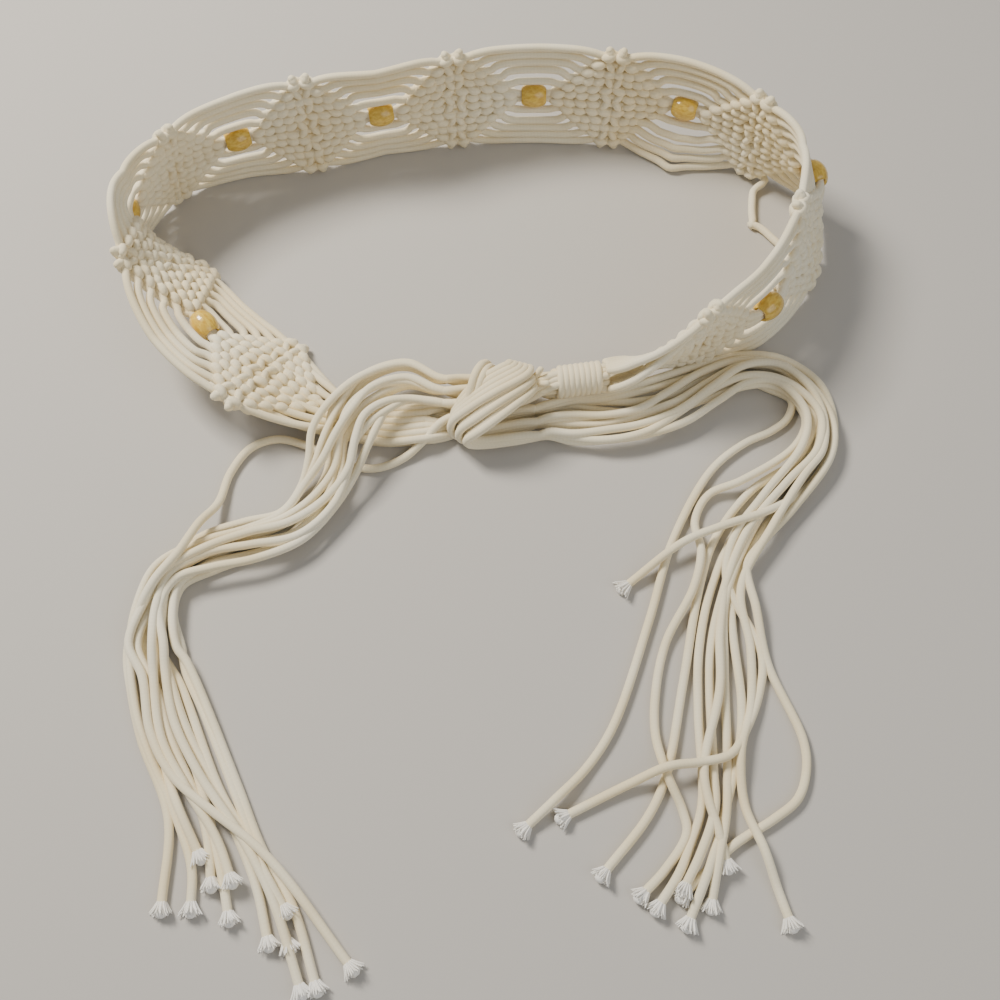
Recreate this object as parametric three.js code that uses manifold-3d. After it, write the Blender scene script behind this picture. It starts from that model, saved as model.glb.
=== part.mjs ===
// Knotted cord belt with wooden beads, tied in front and laid on a flat surface.
// Millimetres, +Z up, +X to the right and +Y away from the front of the loop.
import * as THREE from 'three';
import { mergeVertices } from 'three/addons/utils/BufferGeometryUtils.js';
import Module from 'manifold-3d';

const wasm = await Module();
wasm.setup();

// Driving sizes of the band
const CORD = 4; // pitch of the cords side by side in the band
const CORD_RADIUS = 1.85; // of a free cord, over the corners of its section
const LYING = 2; // height of the centre of a cord that lies on the surface
const CORDS_ACROSS = 12; // cords side by side in the band
const HALF_PITCH = 32.5; // about the middle of a window to the middle of a panel
const WINDOWS = 8; // openings in the band, one bead in each
const PANEL_DEPTH = 7.2; // thickness of a knotted panel
const LANE_WIDTH = 3.3; // width left of a free cord between two slits
const OUTER_SLITS = 24; // half length of the two outer slits of a window
const INNER_SLITS = 17; // half length of the next two
const EYE_LENGTH = 10.5; // half length of the eye round the bead
const WINDOW_BULGE = 2; // how far the cords arch out past the panels

// Driving sizes of the beads and knots
const BEAD_LENGTH = 10.8;
const BEAD_RADIUS = 5.3;
const BEAD_END_RADIUS = 4.3;
const BEAD_BORE = 3.3;
const BEAD_SIDES = 10;
const PAST_BEAD = 1.4; // straight stretch of the cords past each end of a bead
const THREAD_HALF = 2.05; // half thickness of the two cords inside a bead
const WRAP_RADIUS = 6.9; // crest of the wrapping that gathers the cords
const WRAP_GROOVE = 0.7; // depth between two turns
const WRAP_TURNS = 8;
const WRAP_LENGTH = 21;
const GAP = 0.3; // clearance between touching pieces
const BELOW = 150; // side of the block that cuts the knot level with the surface
const LEAD = 4; // straight stretch where the gathered cords pass from piece to piece

// Driving sizes of the free ends
const LAYER_RISE = 3.4; // height from one layer of cords to the next
const TAIL_LAYERS = 3;
const BUNDLE_SIDES = 8;
const STRAND_SIDES = 5;

const HALF_STACK = (LAYER_RISE * (TAIL_LAYERS - 1)) / 2;
const BUNDLE_DEPTH = HALF_STACK + CORD_RADIUS;

const UP = new THREE.Vector3(0, 0, 1);

// The knot is where the belt closes, and the loop is laid out from here.
const KNOT = [-3, 36];

// The loop from the knot's left side clockwise to its right side. x and y are in half
// pitches from the knot, lean is the outward tilt in degrees (90 lies flat), lift is
// the height under the band, across and deep are the section in cords.
const END_ROWS = 3;
const LOOP = [
  { x: -0.83, y: -0.12, lean: 90, lift: 0.2, across: 4.8, deep: 1.9 },
  { x: -1.29, y: -0.15, lean: 90, lift: 0.2, across: 5.0, deep: 1.9 },
  { x: -1.94, y: -0.02, lean: 84, lift: 0.2, across: 5.2, deep: 1.9 },
  { x: -2.86, y: 0.45, lean: 66, lift: 0 },
  { x: -3.62, y: 1.07, lean: 60, lift: 0 },
  { x: -4.15, y: 1.87, lean: 44, lift: 0 },
  { x: -4.62, y: 2.6, lean: -6, lift: 0 },
  { x: -4.2, y: 3.35, lean: -10, lift: 0 },
  { x: -3.39, y: 3.81, lean: -3, lift: 0 },
  { x: -2.47, y: 4.03, lean: 8, lift: 0 },
  { x: -1.51, y: 4.23, lean: -2, lift: 0 },
  { x: -0.52, y: 4.46, lean: 6, lift: 0 },
  { x: 0.55, y: 4.56, lean: 8, lift: 0 },
  { x: 1.6, y: 4.48, lean: 8, lift: 0 },
  { x: 2.58, y: 4.35, lean: 3, lift: 0 },
  { x: 3.48, y: 3.84, lean: -2, lift: 0 },
  { x: 4.12, y: 3.17, lean: -20, lift: 0 },
  { x: 3.97, y: 2.14, lean: -20, lift: 0 },
  { x: 3.34, y: 1.18, lean: -9, lift: 0 },
  { x: 2.54, y: 0.72, lean: 6, lift: 0 },
  { x: 1.72, y: 0.41, lean: 35, lift: 5, across: 6.5, deep: 2.4 },
  { x: 1.39, y: 0.36, lean: 55, lift: 6.5, across: 3.0, deep: 3.0 },
];

// How far each bead stands out of the band, in cord pitches
const BEAD_BULGE = [0, 0.9, 0, 0, 0, 0, 0.9, 0.7];

// The gathered cords of the right end run on through the knot and come out on the left.
const CORE = [
  { x: 8, y: 42, z: 13.6, across: 7, deep: 6 },
  { x: -6, y: 40.6, z: 13.6, across: 7.5, deep: 6 },
  { x: -16.7, y: 41.4, z: 12.9, across: 7.5, deep: 5.4 },
  { x: -21.7, y: 42, z: 12.9, across: 7, deep: 5.4 },
];

// The cords of the left end run on under the core, turn up behind it, come over the top
// down to the front and leave underneath to the right.
const UNDER = [
  { x: -17, y: 34, z: 3.6, across: 9, deep: 4.2 },
  { x: -4, y: 40, z: 4.2, across: 8, deep: 4.6 },
  { x: 5, y: 46, z: 9, across: 7, deep: 5 },
  { x: 8, y: 47.5, z: 16, across: 6.5, deep: 5 },
  { x: 5, y: 43, z: 22.5, across: 6.5, deep: 5 },
];
const OVER = [
  { x: 8, y: 47, z: 17, across: 6, deep: 4.5 },
  { x: 4, y: 42, z: 23.5, across: 7, deep: 4.5 },
  { x: -3, y: 35.5, z: 24.5, across: 8, deep: 4.5 },
  { x: -11, y: 28, z: 20, across: 8, deep: 4.5 },
  { x: -16.5, y: 23.5, z: 12.5, across: 7, deep: 4.5 },
];
const EXIT = [
  { x: -14.5, y: 25.5, z: 15, across: 6, deep: 4.5 },
  { x: -16, y: 22.5, z: 8.5, across: 6.5, deep: 4.5 },
  { x: -9, y: 24, z: 5, across: 7, deep: 4.6 },
  { x: 3, y: 28.4, z: 5.2, across: 7.5, deep: 4.8 },
  { x: 9.8, y: 30.2, z: 6, across: 7.5, deep: 5.4 },
  { x: 14.7, y: 31, z: 6.4, across: 7.5, deep: 5.4 },
];

// Free ends. The spine is the middle of the bundle from the knot on: base is the height
// of the lowest cord's centre, spread half the width between the outermost centres.
const LEFT_SPINE = [
  { x: -37, y: 46, base: 10, spread: 8 },
  { x: -50, y: 41, base: 11, spread: 9 },
  { x: -58, y: 31.5, base: 11.4, spread: 9 },
  { x: -62.5, y: 21, base: 10, spread: 9 },
  { x: -65, y: 10, base: 6, spread: 9 },
  { x: -71, y: -1, base: LYING, spread: 9.5 },
  { x: -81, y: -13, base: LYING, spread: 9 },
  { x: -96, y: -19, base: LYING, spread: 9 },
  { x: -112, y: -25, base: LYING, spread: 8.5 },
  { x: -125, y: -34, base: LYING, spread: 7.5 },
  { x: -129, y: -47, base: LYING, spread: 7.5 },
  { x: -129, y: -62, base: LYING, spread: 10.5 },
];
const RIGHT_SPINE = [
  { x: 29, y: 32.6, base: LYING, spread: 8.5 },
  { x: 42, y: 32.6, base: LYING, spread: 9 },
  { x: 56, y: 35, base: LYING, spread: 8.5 },
  { x: 70, y: 40.8, base: LYING, spread: 8 },
  { x: 85, y: 49.2, base: LYING, spread: 7.5 },
  { x: 100, y: 55.5, base: LYING, spread: 7.5 },
  { x: 113, y: 54.5, base: LYING, spread: 7.5 },
  { x: 123, y: 46, base: LYING, spread: 7.5 },
  { x: 127.5, y: 33, base: LYING, spread: 7 },
  { x: 124, y: 19, base: LYING, spread: 8 },
];

// One row a cord: lane is its place across the bundle (+1 is left of the way out),
// layer its height in it, stations how many spine rows it follows, then its own points
// [x, y, level], where level counts the cords it lies on.
const LEFT_CORDS = [
  { lane: 1, layer: 0, stations: 0, points: [
    [-28, 18.5, 0], [-33, 19, 0], [-49, 13, 0], [-59, 14, 0], [-80, 24, 0], [-90, 26, 0],
    [-100, 22, 0], [-107, 11, 0], [-110, -3, 0.6], [-115, -15, 2.7], [-121, -27, 3],
    [-129, -39, 3], [-135, -51, 1.6], [-138, -64, 0.2], [-135, -78, 0], [-129, -96, 0],
    [-116, -124, 0], [-115, -153, 0]] },
  { lane: -0.75, layer: 1, points: [
    [-132, -85, 0.5], [-126, -100, 0.2], [-111, -128, 0], [-106, -141, 0], [-105, -153, 0]] },
  { lane: -0.5, layer: 0, points: [
    [-128, -78, 0], [-118, -109, 0], [-112, -121, 0.8], [-104, -136, 0.2]] },
  { lane: -0.25, layer: 1, points: [
    [-125, -78, 0.7], [-119, -94, 0.3], [-105, -121, 0], [-101, -133, 0], [-99, -145, 0]] },
  { lane: 0, layer: 0, points: [
    [-122, -78, 0], [-108, -107, 0], [-96, -141, 0], [-92, -156, 0]] },
  { lane: 0.25, layer: 1, points: [
    [-119, -78, 0.8], [-112, -94, 0.4], [-103, -109, 0], [-84, -145, 0], [-78, -164, 0]] },
  { lane: 0.5, layer: 0, points: [
    [-117, -76, 0], [-99, -114, 0], [-89, -129, 0], [-80, -143, 0.8], [-73, -154, 0.4]] },
  { lane: 1, layer: 0, points: [
    [-116, -70, 0], [-106, -89, 0], [-87, -129, 0], [-71, -165, 0]] },
  { lane: 0.75, layer: 1, points: [
    [-115, -68, 0.8], [-93, -112, 0], [-83, -133, 0], [-70, -154, 0], [-61, -178, 0]] },
  { lane: -0.5, layer: 2, points: [
    [-130, -74, 1.6], [-125, -94, 1.2], [-115, -110, 1.2], [-79, -138, 1.2], [-50, -172, 0]] },
  { lane: 0.5, layer: 2, points: [
    [-122, -72, 1.4], [-117, -90, 1.2], [-106, -109, 1.2], [-89, -131, 1], [-77, -151, 0.8],
    [-66, -179, 0.2]] },
  { lane: 0, layer: 2, points: [
    [-126, -74, 1.5], [-121, -96, 1], [-110, -114, 1], [-98, -131, 0.6], [-92, -144, 0.6]] },
];
const RIGHT_CORDS = [
  { lane: -1, layer: 0, stations: 9, points: [
    [119, 44, 0], [117, 36, 0], [110, 30, 0], [98, 24, 0], [84, 12, 0], [67, -18, 0],
    [56, -51, 0], [41, -91, 0], [31, -106, 0], [19, -118, 0.6], [9, -127, 0]] },
  { lane: 1, layer: 0, points: [
    [120, 3, 0.4], [104, -8, 1.8], [85, -15, 2], [70, -21, 1.5], [48, -37, 0]] },
  { lane: -0.5, layer: 2, points: [
    [102, -2, 1.8], [90, -18, 1.2], [86, -35, 0.6], [97, -64, 0], [95, -78, 0], [89, -92, 0.4],
    [82, -102, 1.1], [71, -105, 1.2], [59, -107, 1.8], [46, -112, 0.4], [23, -123, 0]] },
  { lane: -0.5, layer: 0, points: [
    [99, 3, 0], [83, -18, 0], [76, -37, 0], [67, -76, 0], [59, -109, 0], [52, -123, 0],
    [36, -142, 0]] },
  { lane: -0.75, layer: 1, points: [
    [95, 6, 1], [82, 1, 0.2], [76, -10, 0], [77, -24, 0.9], [73, -39, 0.9], [62, -59, 0],
    [57, -78, 0], [56, -94, 0], [59, -109, 0.9], [64, -121, 0], [65, -129, 0], [57, -141, 0],
    [49, -149, 0]] },
  { lane: 0, layer: 0, points: [
    [111, 8, 0], [92, -14, 0], [80, -39, 0], [74, -62, 0], [72, -85, 0], [71, -119, 0],
    [66, -133, 0], [61, -143, 0.6], [54, -153, 0.2]] },
  { lane: 0, layer: 2, points: [
    [112, 4, 1.9], [95, -16, 1.4], [84, -41, 0.7], [78, -64, 0], [76, -107, 0], [75, -121, 0.7],
    [69, -136, 0.9], [63, -147, 0.6]] },
  { lane: 0.5, layer: 0, points: [
    [116, 3, 0], [99, -18, 0], [88, -41, 0], [88, -83, 0], [86, -98, 0], [78, -124, 0],
    [72, -140, 0.9], [64, -158, 0]] },
  { lane: 0.25, layer: 1, points: [
    [114, 7, 1], [98, -14, 0.8], [85, -43, 0.6], [83, -66, 0], [81, -107, 0], [79, -123, 0.3],
    [75, -138, 0.9], [72, -152, 0]] },
  { lane: 0.75, layer: 1, points: [
    [114, -6, 0.9], [101, -20, 0.9], [94, -30, 1], [96, -47, 0.9], [99, -68, 0], [109, -96, 0],
    [109, -107, 0], [105, -117, 0], [96, -124, 0], [81, -133, 0], [63, -149, 0]] },
  { lane: -0.25, layer: 1, points: [
    [106, 1, 1], [89, -26, 0.8], [82, -55, 0.7], [80, -78, 0.8], [72, -109, 0.9], [76, -130, 0.8],
    [78, -139, 0.2]] },
  { lane: 0.5, layer: 2, points: [
    [119, 7, 1.9], [105, -14, 1.5], [91, -39, 0.8], [93, -62, 0.2], [91, -85, 0.2],
    [86, -100, 0.8], [86, -119, 0], [91, -135, 0.9], [95, -148, 0], [98, -158, 0]] },
];

// Colours and finish
const COTTON = { color: 0xe6dcc3, roughness: 0.95, metalness: 0 };
const VARNISHED_WOOD = { color: 0xcf9f1e, roughness: 0.3, metalness: 0 };

const vector = (row) => new THREE.Vector3(row.x, row.y, row.z);
const mix = THREE.MathUtils.lerp;

// A named value of a table at a place between two rows
function between(rows, place, name) {
  const low = Math.min(Math.floor(place), rows.length - 2);
  return mix(rows[low][name], rows[low + 1][name], place - low);
}

function geometryOf(positions, triangles) {
  const geometry = new THREE.BufferGeometry();
  geometry.setAttribute('position', new THREE.Float32BufferAttribute(positions.flat(), 3));
  geometry.setIndex(triangles.flat());
  return geometry;
}

function solidOf(geometry) {
  const bare = geometry.clone();
  for (const name of Object.keys(bare.attributes)) {
    if (name !== 'position') bare.deleteAttribute(name);
  }
  const merged = mergeVertices(bare, 1e-4);
  return new wasm.Manifold(new wasm.Mesh({
    numProp: 3,
    vertProperties: new Float32Array(merged.attributes.position.array),
    triVerts: new Uint32Array(merged.index.array),
  }));
}

function geometryOfSolid(solid) {
  const mesh = solid.getMesh();
  const geometry = new THREE.BufferGeometry();
  geometry.setAttribute('position', new THREE.BufferAttribute(mesh.vertProperties, 3));
  geometry.setIndex(new THREE.BufferAttribute(mesh.triVerts, 1));
  return geometry;
}

const joined = (solids) => solids.reduce((whole, solid) => whole.add(solid));

function piece(name, geometry, finish) {
  const mesh = new THREE.Mesh(geometry, new THREE.MeshStandardMaterial(finish));
  mesh.name = name;
  return mesh;
}

// A closed sweep of an elliptical section along rows of x, y, z, across and deep. The
// section stays level, or with rolling set it turns with the path.
function sweep(rows, { sides, steps, rolling = false }) {
  const curve = new THREE.CatmullRomCurve3(rows.map(vector), false, 'centripetal');
  const count = (rows.length - 1) * steps;
  const positions = [];
  let side = null;
  for (let i = 0; i <= count; i += 1) {
    const centre = curve.getPoint(i / count);
    const along = curve.getTangent(i / count);
    if (side === null || !rolling) side = UP.clone().cross(along);
    side = side.sub(along.clone().multiplyScalar(side.dot(along))).normalize();
    const rise = along.clone().cross(side);
    const place = (i / count) * (rows.length - 1);
    for (let k = 0; k < sides; k += 1) {
      const turn = (2 * Math.PI * (k + 0.5)) / sides;
      const point = centre.clone()
        .addScaledVector(side, Math.cos(turn) * between(rows, place, 'across'))
        .addScaledVector(rise, Math.sin(turn) * between(rows, place, 'deep'));
      positions.push(point.toArray());
    }
  }
  const triangles = [];
  for (let i = 0; i < count; i += 1) {
    for (let k = 0; k < sides; k += 1) {
      const a = i * sides + k;
      const b = i * sides + ((k + 1) % sides);
      triangles.push([a, b, b + sides], [a, b + sides, a + sides]);
    }
  }
  const last = count * sides;
  for (let k = 1; k < sides - 1; k += 1) {
    triangles.push([0, k + 1, k], [last, last + k, last + k + 1]);
  }
  return geometryOf(positions, triangles);
}

// Rows of the loop in millimetres, with half widths of the section
function loopRows() {
  return LOOP.map((row) => ({
    ...row,
    x: KNOT[0] + row.x * HALF_PITCH,
    y: KNOT[1] + row.y * HALF_PITCH,
    z: 0,
    across: ((row.across ?? CORDS_ACROSS) * CORD) / 2,
    deep: row.deep === undefined ? PANEL_DEPTH / 2 : (row.deep * CORD) / 2,
  }));
}

const ROWS = loopRows();
const MIDLINE = new THREE.CatmullRomCurve3(ROWS.map(vector), false, 'centripetal');
const LAST_ROW = ROWS.length - 1;
const LAST_PANEL = END_ROWS + 2 * WINDOWS;

// The point of the band at a place along it, v across it and w out of it
function bandPoint(place, v, w) {
  const centre = MIDLINE.getPoint(place / LAST_ROW);
  const along = MIDLINE.getTangent(place / LAST_ROW);
  const outward = UP.clone().cross(along).normalize();
  const lean = THREE.MathUtils.degToRad(between(ROWS, place, 'lean'));
  const across = outward.clone().multiplyScalar(Math.sin(lean)).addScaledVector(UP, Math.cos(lean));
  const out = outward.multiplyScalar(Math.cos(lean)).addScaledVector(UP, -Math.sin(lean));
  const bulge = place > END_ROWS && place < LAST_PANEL ? WINDOW_BULGE : 0;
  const half = between(ROWS, place, 'across') + bulge;
  const stand = half * Math.cos(lean) + between(ROWS, place, 'deep') * Math.abs(Math.sin(lean));
  return centre.setZ(stand + between(ROWS, place, 'lift'))
    .addScaledVector(across, v)
    .addScaledVector(out, w);
}

// Seams between the cords of one side, from the edge inwards. Seam 4 is beside the bead.
const SEAMS = 5;
const OPEN_OUTER = 2;
const OPEN_INNER = 4;

// Columns of a window, as a distance from its middle, the seams open after it on the way
// to the middle, and how far the cords have left the panel (0) for the window (1)
const WINDOW_COLUMNS = [
  { distance: OUTER_SLITS, open: OPEN_OUTER, parted: 0, deep: PANEL_DEPTH * 0.45 },
  { distance: INNER_SLITS, open: OPEN_INNER, parted: 0.55, deep: PANEL_DEPTH * 0.36 },
  { distance: EYE_LENGTH, open: SEAMS, parted: 0.88, deep: CORD * 0.55 },
  { distance: BEAD_LENGTH / 2 + PAST_BEAD, open: SEAMS, parted: 1, deep: THREAD_HALF },
];

// The marks of a column from the lower edge to the upper one. A seam that is open on both
// sides of the column has two marks, one that is open on one side has one.
function columnMarks(column) {
  const half = between(ROWS, column.place, 'across');
  const edge = half + WINDOW_BULGE * column.parted;
  const marks = [];
  const seamMarks = (seam, sign) => {
    if (seam >= Math.max(column.before, column.after)) return [];
    const inPanel = half - CORD * (seam + 1);
    const inWindow = edge - CORD * seam - (CORD + LANE_WIDTH) / 2;
    const centre = mix(inPanel, inWindow, column.parted);
    if (seam >= Math.min(column.before, column.after)) {
      return [{ v: sign * centre, seam, part: 'point', w: 0 }];
    }
    const slit = ((CORD - LANE_WIDTH) / 2) * Math.min(1, column.parted + 0.2);
    const outer = centre + slit;
    const inner = seam === SEAMS - 1 ? THREAD_HALF : centre - slit;
    const thread = seam === SEAMS - 1 ? column.bulge : 0;
    const pair = [{ v: sign * inner, seam, w: thread }, { v: sign * outer, seam, w: 0 }];
    if (sign < 0) pair.reverse();
    pair[0].part = 'low';
    pair[1].part = 'high';
    return pair;
  };
  const rim = 0.6;
  marks.push({ v: -edge, seam: null, w: 0, thin: column.parted < 1 ? rim : 1 });
  for (let seam = 0; seam < SEAMS; seam += 1) marks.push(...seamMarks(seam, -1));
  if (column.after < SEAMS || column.before < SEAMS) marks.push({ v: 0, seam: null, w: 0 });
  for (let seam = SEAMS - 1; seam >= 0; seam -= 1) marks.push(...seamMarks(seam, 1));
  marks.push({ v: edge, seam: null, w: 0, thin: column.parted < 1 ? rim : 1 });
  return marks;
}

// All columns of the band: the gathered ends, the panels and the windows
function bandColumns() {
  const columns = [];
  const plain = (place) => ({
    place, before: 0, after: 0, parted: 0, bulge: 0, deep: between(ROWS, place, 'deep'),
  });
  for (const place of [0, 1, 1.5, 2, 2.5]) columns.push(plain(place));
  for (let window = 0; window < WINDOWS; window += 1) {
    const middle = END_ROWS + 1 + 2 * window;
    columns.push(plain(middle - 1));
    const bulge = BEAD_BULGE[window] * CORD;
    let before = 0;
    for (const row of WINDOW_COLUMNS) {
      const column = { ...row, place: middle - row.distance / HALF_PITCH, before, after: row.open, bulge };
      columns.push(column);
      before = row.open;
    }
    for (const row of [...WINDOW_COLUMNS].reverse()) {
      const mirror = WINDOW_COLUMNS.indexOf(row);
      const after = mirror === 0 ? 0 : WINDOW_COLUMNS[mirror - 1].open;
      columns.push({
        ...row, place: middle + row.distance / HALF_PITCH, before: row.open, after, bulge,
      });
    }
  }
  for (const place of [LAST_PANEL, LAST_PANEL + 0.5, LAST_ROW - 1, LAST_ROW]) columns.push(plain(place));
  return columns;
}

// The stretches of solid of a column, split at the open seams
function stretches(column, open) {
  const runs = [[]];
  for (const mark of column.marks) {
    const parts = mark.seam !== null && mark.seam < open;
    if (parts && mark.part === 'high') runs.push([]);
    runs[runs.length - 1].push(mark);
    if (parts && mark.part === 'point') runs.push([mark]);
  }
  return runs;
}

// Triangles of a strip between two rows of marks, in step with their place across
function strip(left, right) {
  const triangles = [];
  let i = 0;
  let k = 0;
  const share = (run, at) => (run[at].v - run[0].v) / (run[run.length - 1].v - run[0].v);
  while (i < left.length - 1 || k < right.length - 1) {
    const advanceLeft = k === right.length - 1
      || (i < left.length - 1 && share(left, i + 1) <= share(right, k + 1));
    if (advanceLeft) {
      triangles.push([left[i], left[i + 1], right[k]]);
      i += 1;
    } else {
      triangles.push([left[i], right[k + 1], right[k]]);
      k += 1;
    }
  }
  return triangles;
}

function macrameBand() {
  const positions = [];
  const columns = bandColumns();
  for (const column of columns) {
    column.marks = columnMarks(column);
    for (const mark of column.marks) {
      const deep = column.deep * (mark.thin ?? 1);
      mark.inside = positions.length;
      positions.push(bandPoint(column.place, mark.v, mark.w - deep).toArray());
      mark.outside = positions.length;
      positions.push(bandPoint(column.place, mark.v, mark.w + deep).toArray());
    }
  }
  const triangles = [];
  const wall = (from, to) => triangles.push(
    [from.inside, from.outside, to.outside],
    [from.inside, to.outside, to.inside],
  );
  for (let i = 0; i < columns.length - 1; i += 1) {
    const open = columns[i].after;
    const left = stretches(columns[i], open);
    const right = stretches(columns[i + 1], open);
    left.forEach((run, n) => {
      for (const [a, b, c] of strip(run, right[n])) {
        triangles.push([a.inside, c.inside, b.inside], [a.outside, b.outside, c.outside]);
      }
      wall(run[0], right[n][0]);
      wall(right[n][right[n].length - 1], run[run.length - 1]);
    });
  }
  const cap = (marks) => {
    for (let i = 0; i < marks.length - 1; i += 1) wall(marks[i], marks[i + 1]);
  };
  cap([...columns[0].marks].reverse());
  cap(columns[columns.length - 1].marks);
  return geometryOf(positions, triangles);
}

// A barrel bead with its bore along the thread of its window
function bead(window) {
  const belly = BEAD_LENGTH * 0.22;
  const profile = [
    [BEAD_BORE, -BEAD_LENGTH / 2],
    [BEAD_END_RADIUS, -BEAD_LENGTH / 2],
    [BEAD_RADIUS, -belly],
    [BEAD_RADIUS, belly],
    [BEAD_END_RADIUS, BEAD_LENGTH / 2],
    [BEAD_BORE, BEAD_LENGTH / 2],
    [BEAD_BORE, -BEAD_LENGTH / 2],
  ].map(([radius, height]) => new THREE.Vector2(radius, height));
  const mesh = piece(`bead_${window + 1}`, new THREE.LatheGeometry(profile, BEAD_SIDES), VARNISHED_WOOD);
  const middle = END_ROWS + 1 + 2 * window;
  const reach = WINDOW_COLUMNS[WINDOW_COLUMNS.length - 1].distance / HALF_PITCH;
  const bulge = BEAD_BULGE[window] * CORD;
  const from = bandPoint(middle - reach, 0, bulge);
  const to = bandPoint(middle + reach, 0, bulge);
  mesh.position.copy(from).add(to).multiplyScalar(0.5);
  mesh.quaternion.setFromUnitVectors(new THREE.Vector3(0, 1, 0), to.sub(from).normalize());
  return mesh;
}

// The ribbed wrapping between the band's right end and the tie knot
function gatheringKnot() {
  const pitch = WRAP_LENGTH / WRAP_TURNS;
  const profile = [new THREE.Vector2(0, 0)];
  for (let turn = 0; turn < WRAP_TURNS; turn += 1) {
    profile.push(new THREE.Vector2(WRAP_RADIUS - WRAP_GROOVE, turn * pitch));
    profile.push(new THREE.Vector2(WRAP_RADIUS, (turn + 0.5) * pitch));
  }
  profile.push(new THREE.Vector2(WRAP_RADIUS - WRAP_GROOVE, WRAP_LENGTH), new THREE.Vector2(0, WRAP_LENGTH));
  const mesh = piece('gathering_knot', new THREE.LatheGeometry(profile, BEAD_SIDES), COTTON);
  const end = bandEnd(LAST_ROW);
  mesh.position.copy(end.point).addScaledVector(end.along, GAP);
  mesh.quaternion.setFromUnitVectors(new THREE.Vector3(0, 1, 0), end.along);
  return mesh;
}

// Where the band ends, and the way on from there
function bandEnd(place) {
  const along = MIDLINE.getTangent(place / LAST_ROW);
  return { point: bandPoint(place, 0, 0), along: place === 0 ? along.negate() : along };
}

// Two rows of a path straight on from a point, the first one start away from it
function leadIn({ point, along }, start, section) {
  return [start, start + LEAD].map((distance) => {
    const { x, y, z } = point.clone().addScaledVector(along, distance);
    return { x, y, z, ...section };
  });
}

// The way on from the last row of a path
function pathEnd(rows) {
  const [before, last] = rows.slice(-2);
  return { point: vector(last), along: vector(last).sub(vector(before)).normalize(), row: last };
}

const CORE_PATH = [
  ...leadIn(bandEnd(LAST_ROW), WRAP_LENGTH + 2 * GAP, { across: 6, deep: 6 }),
  ...CORE,
];
const UNDER_PATH = [...leadIn(bandEnd(0), GAP, { across: 10, deep: 3.8 }), ...UNDER];

// A tail's spine with its first rows straight on from the knot
function spineFrom(rows, spine) {
  const end = pathEnd(rows);
  const section = { base: 0, spread: end.row.across - CORD_RADIUS };
  const lead = leadIn(end, GAP, section).map((row) => ({ ...row, base: row.z - HALF_STACK }));
  return [...lead, ...spine];
}

// The knot rests on the surface with the flattened cords of its underside.
function tieKnot() {
  const turning = { sides: BUNDLE_SIDES, steps: 1, rolling: true };
  const solids = [
    solidOf(sweep(CORE_PATH, { sides: BUNDLE_SIDES, steps: 1 })),
    ...[UNDER_PATH, OVER, EXIT].map((rows) => solidOf(sweep(rows, turning))),
  ];
  const below = new THREE.BoxGeometry(BELOW, BELOW, BELOW).translate(KNOT[0], KNOT[1], -BELOW / 2);
  return piece('tie_knot', geometryOfSolid(joined(solids).subtract(solidOf(below))), COTTON);
}

// The whole route of a free cord: its place in the bundle, then its own points
function cordRoute(spine, cord) {
  const followed = spine.slice(0, cord.stations ?? spine.length);
  const curve = new THREE.CatmullRomCurve3(spine.map((row) => vector({ ...row, z: 0 })));
  const inBundle = followed.map((row, i) => {
    const along = curve.getTangent(i / (spine.length - 1));
    const side = UP.clone().cross(along).normalize().multiplyScalar(cord.lane * row.spread);
    return { x: row.x + side.x, y: row.y + side.y, z: row.base + cord.layer * LAYER_RISE };
  });
  const free = cord.points.map(([x, y, level]) => ({ x, y, z: LYING + level * LAYER_RISE }));
  return [...inBundle, ...free];
}

// A free end: the bundle's outer form as the head, and the cords that fan out of it
function tail(name, spine, cords) {
  const bundle = spine.map((row) => ({
    ...row,
    z: row.base + HALF_STACK,
    across: row.spread + CORD_RADIUS,
    deep: BUNDLE_DEPTH,
  }));
  const solids = [solidOf(sweep(bundle, { sides: BUNDLE_SIDES, steps: 1 }))];
  const insideHead = 1;
  for (const cord of cords) {
    const route = cordRoute(spine, cord);
    const start = cord.stations === 0 ? 0 : (cord.stations ?? spine.length) - insideHead;
    const rows = route.slice(start).map((row) => ({ ...row, across: CORD_RADIUS, deep: CORD_RADIUS }));
    solids.push(solidOf(sweep(rows, { sides: STRAND_SIDES, steps: 1 })));
  }
  return piece(name, geometryOfSolid(joined(solids)), COTTON);
}

const belt = new THREE.Group();
belt.add(piece('macrame_band', macrameBand(), COTTON));
for (let window = 0; window < WINDOWS; window += 1) belt.add(bead(window));
belt.add(gatheringKnot(), tieKnot());
belt.add(
  tail('left_tail', spineFrom(CORE, LEFT_SPINE), LEFT_CORDS),
  tail('right_tail', spineFrom(EXIT, RIGHT_SPINE), RIGHT_CORDS),
);

// The origin is the middle of the belt's box, on the surface that it lies on.
belt.updateMatrixWorld(true);
const box = new THREE.Box3().setFromObject(belt, true);
const centre = box.getCenter(new THREE.Vector3());
belt.position.set(-centre.x, -centre.y, -box.min.z);

export default belt;
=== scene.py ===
"""Knotted cotton cord belt with wooden beads, laid in a loop on a flat surface."""

import itertools
import math
import random

import bpy
import numpy as np
from mathutils import Matrix, Vector


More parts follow.
